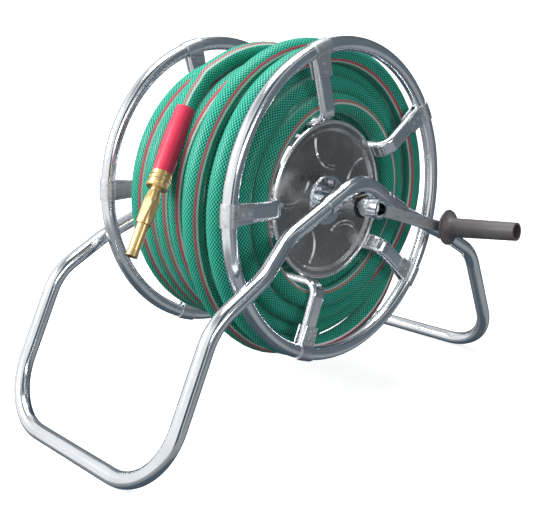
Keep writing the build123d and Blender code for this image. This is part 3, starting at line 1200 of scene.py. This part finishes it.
@dataclass
class Fasteners:
    """Rivets, bolts, spot welds and weld beads on the stand and the reel.

    Profiles are (radius, height) from the face that a fastener sits on.
    """

    middle: Vector
    palette: Palette
    peak_x: float = 0.1375
    peak_z: float = 0.30407
    neck: Span = (0.1265, 0.1133)
    slope: float = math.radians(27.35)
    sleeve_r: float = 0.01125
    rivet_pairs: tuple[RivetPair, ...] = (
        RivetPair(-1.0, (0.036, 0.048), -0.6),
        RivetPair(1.0, (0.062, 0.073), 0.6),
    )
    rivet_head: Profile = (
        (0.0031, -0.0006),
        (0.0031, 0.0003),
        (0.0026, 0.0009),
        (0.0016, 0.0014),
        (0.0006, 0.0016),
    )
    bar_phase: float = math.radians(33.4)
    bar_count: int = 5
    tab_face: float = 0.1172
    weld_radii: Span = (0.1635, 0.1735)
    weld_dish: Profile = (
        (0.0022, -0.0004),
        (0.0022, 0.0001),
        (0.0018, 0.0004),
        (0.0013, 0.0003),
        (0.0006, 0.0001),
    )
    cup_face: float = 0.0890
    bolt_circle: float = 0.0225
    bolt_count: int = 6
    bolt_phase: float = 0.25
    washer: Profile = ((0.0050, -0.0005), (0.0050, 0.0008), (0.0046, 0.0011))
    bolt_head: Profile = (
        (0.0038, 0.0009),
        (0.0040, 0.0012),
        (0.0040, 0.0034),
        (0.0034, 0.0040),
    )
    round_sides: int = 20
    weld_sides: int = 16
    hex_sides: int = 6
    hex_crease: float = 25.0
    lump_rows: int = 6
    lump_cut: float = 0.4
    lump_sides: int = 12
    lump_crease: float = 80.0
    lump_tilt: Place = (2.1, 1.7, 1.5)
    housing_r: float = 0.0130
    housing_bead: Span = (0.0082, 0.0090)
    housing_lumps: int = 26
    housing_lump_r: float = 0.0018
    boss_r: float = 0.0120
    boss_gap: float = 0.0004
    arm_x: float = 0.1580
    arm_thick: float = 0.0080
    arm_angle: float = math.radians(-16.4)
    crank_bead: float = math.radians(31.0)
    crank_lumps: int = 9
    crank_lump_r: float = 0.0013

    def spot(self, x: float, y: float, z: float) -> Vector:
        """A point given from the reel's middle, with its height from the floor."""
        return Vector((self.middle.x + x, y, z))

    def rivets(self, name: str, side: float) -> None:
        """The pairs of rivets that hold both legs in a peak sleeve.

        Args:
            name: The side's name.
            side: 1 on the crank's side and -1 on the other.
        """
        draft = Draft()
        peak = self.spot(side * self.peak_x, 0.0, self.peak_z)
        neck_x, neck_y = self.neck
        foot_z = self.peak_z - neck_y * math.tan(self.slope)
        for pair in self.rivet_pairs:
            down = self.spot(side * neck_x, pair.front * neck_y, foot_z) - peak
            down.normalize()
            out = Vector((side, 0.0, pair.lean))
            out -= down * out.dot(down)
            out.normalize()
            for distance in pair.distances:
                place = placed(peak + down * distance + out * self.sleeve_r, out)
                draft.turned(self.rivet_head, place, self.round_sides)
        draft.piece("rivets_" + name, self.palette.zinc, Body.STAND)

    def spot_welds(self, name: str, side: float) -> None:
        """Two small dished marks on each clamp's outer tab.

        Args:
            name: The side's name.
            side: 1 on the crank's side and -1 on the other.
        """
        draft = Draft()
        out = Vector((side, 0.0, 0.0))
        face = self.spot(side * self.tab_face, 0.0, self.middle.z)
        for i in range(self.bar_count):
            along = spoke(self.bar_phase + math.tau * i / self.bar_count)
            for radius in self.weld_radii:
                place = placed(face + along * radius, out, along)
                draft.turned(self.weld_dish, place, self.weld_sides)
        draft.piece("spot_welds_" + name, self.palette.steel, Body.REEL)

    def cup_bolts(self, name: str, side: float) -> None:
        """Washers and hex heads round each hub cup's flange.

        Args:
            name: The side's name.
            side: 1 on the crank's side and -1 on the other.
        """
        draft = Draft()
        out = Vector((side, 0.0, 0.0))
        face = self.spot(side * self.cup_face, 0.0, self.middle.z)
        for i in range(self.bolt_count):
            along = spoke(math.tau * (i + self.bolt_phase) / self.bolt_count)
            place = placed(face + along * self.bolt_circle, out, along)
            draft.turned(self.washer, place, self.round_sides)
            draft.turned(self.bolt_head, place, self.hex_sides)
        finish = self.palette.zinc
        draft.piece("cup_bolts_" + name, finish, Body.REEL, self.hex_crease)

    def lumps(self, draft: Draft, places: Sequence[Vector], radius: float) -> None:
        """Adds a row of small round lumps that run into one another as a weld bead.

        Args:
            draft: The piece that they are part of.
            places: The lumps' middles.
            radius: Their radius.
        """
        whole = self.lump_rows - 1 + 2.0 * self.lump_cut
        arcs = [math.pi * (i + self.lump_cut) / whole for i in range(self.lump_rows)]
        ball = [(radius * math.sin(a), -radius * math.cos(a)) for a in arcs]
        pace_x, pace_y, height = self.lump_tilt
        for i, place in enumerate(places):
            tilt = Vector((math.sin(pace_x * i), math.cos(pace_y * i), height))
            draft.turned(ball, placed(place, tilt), self.lump_sides)

    def housing_weld(self, name: str, side: float) -> None:
        """The bead between a peak sleeve and the bearing housing that it rests on.

        Args:
            name: The side's name.
            side: 1 on the crank's side and -1 on the other.
        """
        draft = Draft()
        top = self.spot(side * self.peak_x, 0.0, self.middle.z + self.housing_r)
        places = []
        for i in range(self.housing_lumps):
            angle = math.tau * i / self.housing_lumps
            x = self.housing_bead[0] * math.cos(angle)
            y = self.housing_bead[1] * math.sin(angle)
            height = (x * x / self.sleeve_r - y * y / self.housing_r) / 4.0
            places.append(top + Vector((x, y, height)))
        self.lumps(draft, places, self.housing_lump_r)
        finish = self.palette.weld
        draft.piece("housing_weld_" + name, finish, Body.STAND, self.lump_crease)

    def crank_weld(self) -> None:
        """The beads between the crank's boss and both faces of its arm."""
        draft = Draft()
        middle = (self.crank_lumps - 1) / 2.0
        for face in (-1.0, 1.0):
            x = self.arm_x + face * self.arm_thick / 2.0
            centre = self.spot(x, 0.0, self.middle.z)
            places = []
            for i in range(self.crank_lumps):
                angle = self.arm_angle + self.crank_bead * (i / middle - 1.0)
                places.append(centre + spoke(angle) * (self.boss_r + self.boss_gap))
            self.lumps(draft, places, self.crank_lump_r)
        draft.piece("crank_weld", self.palette.weld, Body.REEL, self.lump_crease)

    def build(self) -> None:
        """Makes all fasteners on both sides."""
        for name, side in SIDES.items():
            self.rivets(name, side)
            self.spot_welds(name, side)
            self.cup_bolts(name, side)
            self.housing_weld(name, side)
        self.crank_weld()


@dataclass(frozen=True)
class SoftBox:
    """One rectangular studio lamp."""

    name: str
    place: Place
    size: Span
    power: float

    def light(self, target: Vector) -> None:
        """Sets the lamp up.

        Args:
            target: What it points at.
        """
        data = bpy.data.lights.new(self.name, "AREA")
        data.shape = "RECTANGLE"
        data.size, data.size_y = self.size
        data.energy = self.power
        made = bpy.data.objects.new(self.name, data)
        place = Vector(self.place)
        made.matrix_world = placed(place, place - target)
        bpy.context.scene.collection.objects.link(made)


@dataclass(frozen=True)
class Surround:
    """What stands round the studio: plain white to look at, soft light, and a room for metal.

    Polished metal mirrors a white card on the left, a dark room with a dark flag and a light strip
    on the right, a grey floor, and little from behind the object. Spans are parts of a direction.
    """

    right: Span = (0.71, 0.70)
    towards: Span = (0.69, -0.68)
    card_side: Span = (0.22, 0.1)
    card_foot: Span = (-0.5, -0.26)
    card_top: Span = (0.62, 0.95)
    card_fade: float = 0.8
    card_light: float = 1.1
    flag_side: float = 0.31
    flag_edge: Span = (0.2, 0.1)
    flag_front: Span = (0.2, 0.5)
    flag_shade: float = 0.9
    strip_side: float = 0.64
    strip_edge: Span = (0.1, 0.04)
    strip_front: Span = (-0.2, 0.1)
    strip_light: float = 0.5
    room_light: float = 0.12
    floor_span: Span = (-0.18, -0.34)
    floor_light: float = 0.31
    under_span: Span = (-0.68, -0.88)
    under_shade: float = 0.24
    behind_rise: float = -0.24
    behind_span: Span = (0.35, 0.8)
    behind_shade: float = 0.85
    room_dark: Colour = (0.020, 0.050, 0.075)
    wall_span: Span = (0.2, -0.6)
    wall_light: float = 0.2
    ceiling_span: Span = (-0.1, 0.9)
    ceiling_light: float = 0.36
    ground_span: Span = (-0.08, -0.42)
    ground_light: float = 0.16
    soft_dark: Colour = (0.045, 0.055, 0.070)

    def mirrored(self, side: Signal, front: Signal, z: Signal) -> Signal:
        """The room that polished metal shows.

        Args:
            side: A direction's part to the right of the picture.
            front: Its part towards the camera.
            z: Its part upwards.

        Returns:
            The room's lightness.
        """
        card = side.step(*self.card_side) * z.step(*self.card_foot)
        card = card * (1.0 - z.step(*self.card_top) * self.card_fade)
        flag = abs(side - self.flag_side).step(*self.flag_edge) * front.step(*self.flag_front)
        strip = abs(side - self.strip_side).step(*self.strip_edge) * front.step(*self.strip_front)
        room = (1.0 - flag * self.flag_shade) * self.room_light + strip * self.strip_light
        ground = self.floor_light - z.step(*self.under_span) * self.under_shade
        whole = room + (ground - room) * z.step(*self.floor_span) + card * self.card_light
        behind = (z * self.behind_rise - front).step(*self.behind_span)
        return whole * (1.0 - behind * self.behind_shade)

    def soft(self, side: Signal, z: Signal) -> Signal:
        """The light that falls on everything else.

        Args:
            side: A direction's part to the right of the picture.
            z: Its part upwards.

        Returns:
            The light.
        """
        wall = side.step(*self.wall_span) * self.wall_light
        ceiling = z.step(*self.ceiling_span) * self.ceiling_light
        return wall + ceiling + z.step(*self.ground_span) * self.ground_light

    def build(self) -> None:
        """Makes the world and hangs it round the scene."""
        world = bpy.data.worlds.new("surround")
        world.use_nodes = True
        graph = Graph(world.node_tree)
        x = graph.axis(graph.node("ShaderNodeTexCoord"), "X")
        y, z = x.part("Y"), x.part("Z")
        side = x * self.right[0] + y * self.right[1]
        front = x * self.towards[0] + y * self.towards[1]
        mirrored = self.mirrored(side, front, z).colour(self.room_dark, WHITE)
        soft = self.soft(side, z).colour(self.soft_dark, WHITE)
        glossy = graph.node("ShaderNodeLightPath", output="Is Glossy Ray")
        seen = glossy.part("Is Camera Ray")
        tone = seen.colour(glossy.colour(soft, mirrored), WHITE)
        inputs = {"Color": tone, "Strength": 1.0}
        graph.end("ShaderNodeOutputWorld", graph.node("ShaderNodeBackground", None, inputs))
        bpy.context.scene.world = world


@dataclass
class Studio:
    """Floor, lights and camera."""

    eye: Place = (0.70112, -0.78346, 0.45228)
    azimuth: float = math.radians(44.69)
    elevation: float = math.radians(13.85)
    roll: float = math.radians(0.65)
    lens: float = 56.06
    sensor: float = 36.0
    sight: float = 100.0
    floor_near: float = -6.0
    floor_reach: float = 3.0
    floor_half: float = 7.0
    wall_bend: float = 1.6
    wall_height: float = 6.0
    bend_steps: int = 24
    paper: Paper = Paper("studio_paper", (0.80, 0.80, 0.80), (0.77, 0.77, 0.77), 0.66)
    surround: Surround = Surround()
    target: Place = (0.0, 0.0, 0.2)
    lamps: tuple[SoftBox, ...] = (
        SoftBox("key_box", (-0.9, -1.95, 1.5), (1.0, 1.4), 66.0),
        SoftBox("top_box", (-0.2, 0.1, 2.4), (1.4, 1.4), 38.0),
        SoftBox("side_box", (2.0, -0.2, 0.8), (0.35, 1.2), 9.0),
    )

    def camera(self) -> None:
        """The photograph's viewpoint."""
        across, high = math.cos(self.elevation), math.sin(self.elevation)
        back = Vector((math.sin(self.azimuth) * across, -math.cos(self.azimuth) * across, high))
        level = UP.cross(back).normalized()
        upright = back.cross(level)
        right = level * math.cos(self.roll) + upright * math.sin(self.roll)
        turn = Matrix((right, back.cross(right), back)).transposed().to_4x4()
        data = bpy.data.cameras.new("photo_camera")
        data.lens = self.lens
        data.sensor_width = self.sensor
        data.clip_end = self.sight
        made = bpy.data.objects.new("photo_camera", data)
        made.matrix_world = Matrix.Translation(Vector(self.eye)) @ turn
        bpy.context.scene.collection.objects.link(made)
        bpy.context.scene.camera = made

    def backdrop(self) -> None:
        """A pale floor that curves up into a wall far behind the object."""
        draft = Draft()
        away = Vector((-math.sin(self.azimuth), math.cos(self.azimuth), 0.0))
        across = Vector((math.cos(self.azimuth), math.sin(self.azimuth), 0.0)) * self.floor_half
        profile = [(self.floor_near, 0.0)]
        for i in range(self.bend_steps + 1):
            angle = math.radians(90.0 * i / self.bend_steps)
            distance = self.floor_reach + self.wall_bend * math.sin(angle)
            profile.append((distance, self.wall_bend * (1.0 - math.cos(angle))))
        profile.append((self.floor_reach + self.wall_bend, self.wall_height))
        rows = []
        for distance, height in profile:
            foot = away * distance + UP * height
            rows.append(draft.ring([foot - across, foot + across]))
        for low, high in zip(rows, rows[1:]):
            draft.faces.append((low[0], low[1], high[1], high[0]))
        made = bpy.data.objects.new("backdrop", draft.mesh("backdrop", self.paper))
        made.visible_diffuse = False
        made.visible_glossy = False
        bpy.context.scene.collection.objects.link(made)

    def build(self) -> None:
        """Sets up the whole studio."""
        bpy.context.scene.view_settings.view_transform = "Standard"
        self.camera()
        self.backdrop()
        self.surround.build()
        for lamp in self.lamps:
            lamp.light(Vector(self.target))
        LOG.info("studio set up with %d lamps", len(self.lamps))


def main() -> None:
    """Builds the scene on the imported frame."""
    logging.basicConfig(level=logging.INFO, format="%(message)s")
    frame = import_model()
    low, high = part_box("ring_plain_side")[0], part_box("ring_crank_side")[1]
    middle = Vector([(a + b) / 2.0 for a, b in zip(low, high)])
    palette = Palette.for_axle((middle.y, middle.z))
    nodes = frame["nodes"]
    Solids(nodes, palette).dress()
    Hose(HoseRoute(middle), palette, nodes).build()
    Fasteners(middle, palette).build()
    Studio().build()
    LOG.info("scene built with %d nodes", len(nodes))


if __name__ == "__main__":
    main()
